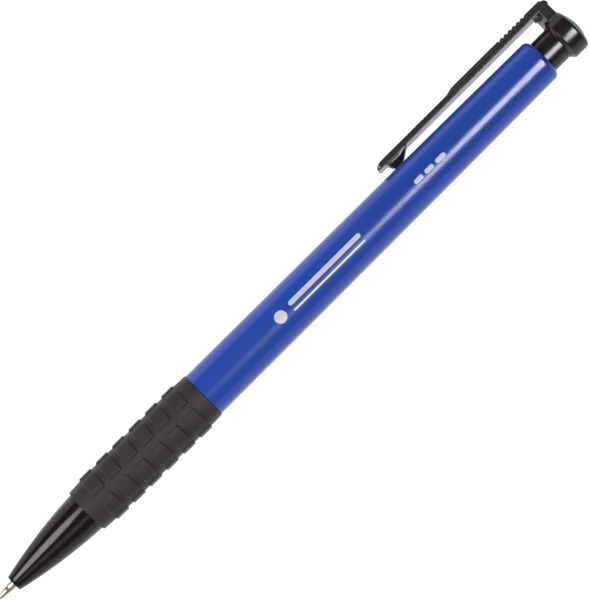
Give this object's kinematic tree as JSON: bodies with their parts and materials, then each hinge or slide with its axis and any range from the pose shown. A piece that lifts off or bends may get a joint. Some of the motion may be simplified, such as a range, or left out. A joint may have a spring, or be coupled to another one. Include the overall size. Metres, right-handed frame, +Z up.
{
  "type": "retractable ballpoint pen",
  "caption": "Slim retractable ballpoint pen with a blue tapered barrel, padded black rubber grip, and a push button that carries the pocket clip.",
  "frame": {"origin": "on the surface that the pen lies on, under the middle of the pen's box", "axes": "+X along the pen towards the button, +Z up, +Y towards the side that the clip is on; the clip hangs 20 degrees below level"},
  "size_m": [0.1437, 0.0126, 0.0103],
  "materials": {
    "blue_plastic": "glossy moulded plastic",
    "black_plastic": "glossy moulded plastic",
    "clip_plastic": "satin moulded plastic",
    "grip_rubber": "matte soft rubber",
    "tip_metal": "turned nickel silver",
    "ball_metal": "polished ball",
    "spring_steel": "drawn wire",
    "cam_plastic": "moulded acetal",
    "refill_plastic": "extruded tube",
    "ink": "wet ink",
    "grease": "clear grease"
  },
  "bodies": {
    "barrel": {"barrel": "blue_plastic", "nose_cone": "black_plastic", "grip_sleeve": "grip_rubber", "cam_guide": "cam_plastic", "return_spring": "spring_steel"},
    "button": {"plunger": "black_plastic", "clip_ring": "clip_plastic", "end_plug": "blue_plastic"},
    "clip": {"clip_bar": "clip_plastic"},
    "refill": {"refill_tube": "refill_plastic", "ink_column": "ink", "ink_follower": "grease", "writing_tip": "tip_metal"},
    "rotor": {"cam_rotor": "cam_plastic"},
    "ball": {"tip_ball": "ball_metal"}
  },
  "joints": [
    {"name": "button_press", "type": "slide", "parent": "barrel", "child": "button", "axis": [1, 0, 0], "range_m": [-0.0015, 0.005]},
    {"name": "refill_travel", "type": "slide", "parent": "barrel", "child": "refill", "axis": [1, 0, 0], "range_m": [-0.0015, 0.005], "deforming": ["return_spring"]},
    {"name": "rotor_turn", "type": "hinge", "parent": "refill", "child": "rotor", "pos_m": [0.04215, -0.00121, 0.00514], "axis": [1, 0, 0], "range_deg": [-18.5, 60.5]},
    {"name": "ball_roll", "type": "hinge", "parent": "refill", "child": "ball", "pos_m": [-0.0715, -0.00121, 0.00514], "axis": [0, 1, 0], "continuous": true},
    {"name": "clip_flex", "type": "hinge", "parent": "button", "child": "clip", "pos_m": [0.06605, 0.005, 0.00288], "axis": [0, -0.342, -0.9397], "range_deg": [0, 4], "stiffness_Nm_per_rad": 0.6}
  ],
  "couplings": [
    {"joint": "refill_travel", "follows": "button_press", "ratio": 1},
    {"joint": "rotor_turn", "follows": "button_press", "rad_per_m": 209.44}
  ]
}
